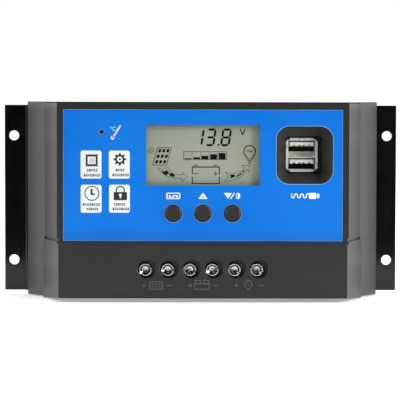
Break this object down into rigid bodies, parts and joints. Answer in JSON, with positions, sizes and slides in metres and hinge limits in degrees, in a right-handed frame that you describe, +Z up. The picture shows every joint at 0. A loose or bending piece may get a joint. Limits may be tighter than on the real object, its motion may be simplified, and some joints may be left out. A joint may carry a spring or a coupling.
{
  "type": "solar charge controller",
  "caption": "Wall-mounted solar charge controller with finned heat sink, display, keys, twin power outlet and screw terminals.",
  "frame": {"origin": "middle of the four mounting holes, on the wall plane", "axes": "+X right as seen from the front, +Z up the wall, front faces -Y"},
  "size_m": [0.189, 0.0462, 0.0931],
  "materials": {
    "anodised": "satin black anodised extrusion",
    "case_plastic": "fine spark-eroded texture",
    "blue_label": "printed film",
    "clear_window": "clear acrylic",
    "key_black": "satin",
    "plunger_red": "moulded",
    "lcd": "grey reflective display",
    "frame_white": "moulded",
    "diffuser": "moulded",
    "foam": "closed-cell foam",
    "elastomer": "layered conductive strip",
    "circuit_board": "solder mask on glass fibre",
    "steel": "zinc plated",
    "nickel": "nickel plated",
    "black_plastic": "moulded",
    "white_plastic": "moulded",
    "gold": "gold plated",
    "brass": "turned brass",
    "mica": "grey thermal sheet",
    "tinned": "tin plated",
    "bar_metal": "tin plated brass",
    "capacitor_sleeve": "shrink sleeve",
    "ferrite": "moulded powder",
    "fuse_orange": "clear orange plastic",
    "resistor_alloy": "bare alloy"
  },
  "bodies": {
    "case": {"heat_sink": "anodised", "base_frame": "case_plastic", "front_cover": "case_plastic", "front_label": "blue_label", "lcd_window": "clear_window", "switch_bodies": "black_plastic", "lcd_glass": "lcd", "lcd_frame": "frame_white", "lcd_backlight": "diffuser", "lcd_connectors": "elastomer", "display_board": "circuit_board", "display_board_screws": "steel", "board_header": "black_plastic", "usb_shell": "nickel", "usb_insulator": "black_plastic", "usb_upper_tongue": "white_plastic", "usb_lower_tongue": "white_plastic", "usb_contacts": "gold", "main_board": "circuit_board", "board_spacers": "brass", "housing_screws": "steel", "thermal_pad": "mica", "mosfet_tabs": "tinned", "mosfet_bodies": "black_plastic", "mosfet_leads": "tinned", "mosfet_screws": "steel", "terminal_block": "black_plastic", "terminal_contacts": "bar_metal", "terminal_signs": "case_plastic", "outlet_gasket": "foam", "filter_capacitors": "capacitor_sleeve", "usb_inductor": "ferrite", "fuse_bodies": "fuse_orange", "fuse_blades": "tinned", "microcontroller": "black_plastic", "voltage_regulator": "black_plastic", "shunt_strips": "resistor_alloy", "temperature_sensor": "black_plastic"},
    "menu_key": {"menu_button": "key_black", "menu_plunger": "plunger_red"},
    "up_key": {"up_button": "key_black", "up_plunger": "plunger_red"},
    "down_key": {"down_button": "key_black", "down_plunger": "plunger_red"},
    "screw_1": {"terminal_screw_1": "nickel"},
    "screw_2": {"terminal_screw_2": "nickel"},
    "screw_3": {"terminal_screw_3": "nickel"},
    "screw_4": {"terminal_screw_4": "nickel"},
    "screw_5": {"terminal_screw_5": "nickel"},
    "screw_6": {"terminal_screw_6": "nickel"},
    "cage_1": {"clamp_cage_1": "steel"},
    "cage_2": {"clamp_cage_2": "steel"},
    "cage_3": {"clamp_cage_3": "steel"},
    "cage_4": {"clamp_cage_4": "steel"},
    "cage_5": {"clamp_cage_5": "steel"},
    "cage_6": {"clamp_cage_6": "steel"}
  },
  "joints": [
    {"name": "menu_press", "type": "slide", "parent": "case", "child": "menu_key", "axis": [0, 1, 0], "range_m": [0, 0.0005], "stiffness_N_per_m": 2400},
    {"name": "up_press", "type": "slide", "parent": "case", "child": "up_key", "axis": [0, 1, 0], "range_m": [0, 0.0005], "stiffness_N_per_m": 2400},
    {"name": "down_press", "type": "slide", "parent": "case", "child": "down_key", "axis": [0, 1, 0], "range_m": [0, 0.0005], "stiffness_N_per_m": 2400},
    {"name": "screw_1_turn", "type": "hinge", "parent": "case", "child": "screw_1", "pos_m": [-0.02575, -0.0414, -0.0319], "axis": [0, 1, 0], "range_deg": [0, 2700]},
    {"name": "cage_1_rise", "type": "slide", "parent": "case", "child": "cage_1", "axis": [0, -1, 0], "range_m": [0, 0.0052]},
    {"name": "screw_2_turn", "type": "hinge", "parent": "case", "child": "screw_2", "pos_m": [-0.01545, -0.0414, -0.0319], "axis": [0, 1, 0], "range_deg": [0, 2700]},
    {"name": "cage_2_rise", "type": "slide", "parent": "case", "child": "cage_2", "axis": [0, -1, 0], "range_m": [0, 0.0052]},
    {"name": "screw_3_turn", "type": "hinge", "parent": "case", "child": "screw_3", "pos_m": [-0.00515, -0.0414, -0.0319], "axis": [0, 1, 0], "range_deg": [0, 2700]},
    {"name": "cage_3_rise", "type": "slide", "parent": "case", "child": "cage_3", "axis": [0, -1, 0], "range_m": [0, 0.0052]},
    {"name": "screw_4_turn", "type": "hinge", "parent": "case", "child": "screw_4", "pos_m": [0.00515, -0.0414, -0.0319], "axis": [0, 1, 0], "range_deg": [0, 2700]},
    {"name": "cage_4_rise", "type": "slide", "parent": "case", "child": "cage_4", "axis": [0, -1, 0], "range_m": [0, 0.0052]},
    {"name": "screw_5_turn", "type": "hinge", "parent": "case", "child": "screw_5", "pos_m": [0.01545, -0.0414, -0.0319], "axis": [0, 1, 0], "range_deg": [0, 2700]},
    {"name": "cage_5_rise", "type": "slide", "parent": "case", "child": "cage_5", "axis": [0, -1, 0], "range_m": [0, 0.0052]},
    {"name": "screw_6_turn", "type": "hinge", "parent": "case", "child": "screw_6", "pos_m": [0.02575, -0.0414, -0.0319], "axis": [0, 1, 0], "range_deg": [0, 2700]},
    {"name": "cage_6_rise", "type": "slide", "parent": "case", "child": "cage_6", "axis": [0, -1, 0], "range_m": [0, 0.0052]}
  ],
  "couplings": [
    {"joint": "screw_1_turn", "follows": "cage_1_rise", "rad_per_m": 8976},
    {"joint": "screw_2_turn", "follows": "cage_2_rise", "rad_per_m": 8976},
    {"joint": "screw_3_turn", "follows": "cage_3_rise", "rad_per_m": 8976},
    {"joint": "screw_4_turn", "follows": "cage_4_rise", "rad_per_m": 8976},
    {"joint": "screw_5_turn", "follows": "cage_5_rise", "rad_per_m": 8976},
    {"joint": "screw_6_turn", "follows": "cage_6_rise", "rad_per_m": 8976}
  ]
}
